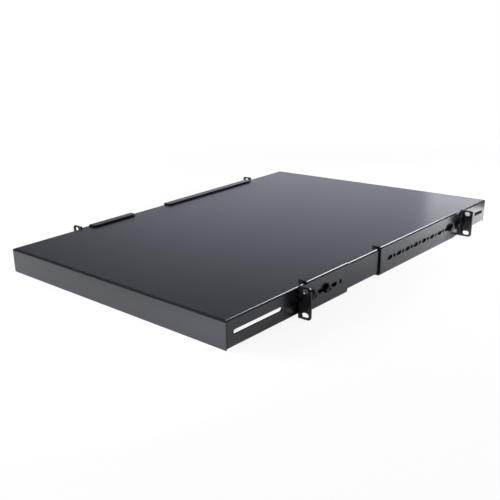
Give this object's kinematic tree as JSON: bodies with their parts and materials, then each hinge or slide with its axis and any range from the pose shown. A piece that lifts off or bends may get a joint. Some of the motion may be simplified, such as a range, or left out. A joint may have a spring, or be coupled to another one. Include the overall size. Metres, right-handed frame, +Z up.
{
  "type": "adjustable rack shelf",
  "caption": "Flat sheet metal shelf tray carried by sliding channel brackets whose slotted ears bolt to the posts of a 19 inch rack.",
  "frame": {"origin": "under the middle of the tray, at the height of the brackets' lower face", "axes": "+X to the right seen from the front, +Y from the front of the tray to its rear, +Z up"},
  "size_m": [0.4826, 0.68, 0.0436],
  "materials": {
    "tray_paint": "satin black powder coat",
    "bracket_paint": "satin black powder coat",
    "black_screws": "black zinc",
    "black_washers": "black zinc",
    "plate_paint": "black zinc",
    "zinc_nuts": "zinc plated"
  },
  "bodies": {
    "shelf": {"shelf_tray": "tray_paint", "stiffener_front": "tray_paint", "stiffener_rear": "tray_paint"},
    "front_left_bracket": {"bracket_front_left": "bracket_paint", "screws_front_left": "black_screws", "washers_front_left": "black_washers", "clamp_plate_front_left": "plate_paint", "nuts_front_left": "zinc_nuts"},
    "front_right_bracket": {"bracket_front_right": "bracket_paint", "screws_front_right": "black_screws", "washers_front_right": "black_washers", "clamp_plate_front_right": "plate_paint", "nuts_front_right": "zinc_nuts"},
    "rear_left_bracket": {"bracket_rear_left": "bracket_paint", "screws_rear_left": "black_screws", "washers_rear_left": "black_washers", "clamp_plate_rear_left": "plate_paint", "nuts_rear_left": "zinc_nuts"},
    "rear_right_bracket": {"bracket_rear_right": "bracket_paint", "screws_rear_right": "black_screws", "washers_rear_right": "black_washers", "clamp_plate_rear_right": "plate_paint", "nuts_rear_right": "zinc_nuts"}
  },
  "joints": [
    {"name": "front_left_slide", "type": "slide", "parent": "shelf", "child": "front_left_bracket", "axis": [0, 1, 0], "range_m": [-0.042, 0.024]},
    {"name": "front_right_slide", "type": "slide", "parent": "shelf", "child": "front_right_bracket", "axis": [0, 1, 0], "range_m": [-0.042, 0.024]},
    {"name": "rear_left_slide", "type": "slide", "parent": "shelf", "child": "rear_left_bracket", "axis": [0, 1, 0], "range_m": [-0.055, 0.047]},
    {"name": "rear_right_slide", "type": "slide", "parent": "shelf", "child": "rear_right_bracket", "axis": [0, 1, 0], "range_m": [-0.055, 0.047]}
  ]
}
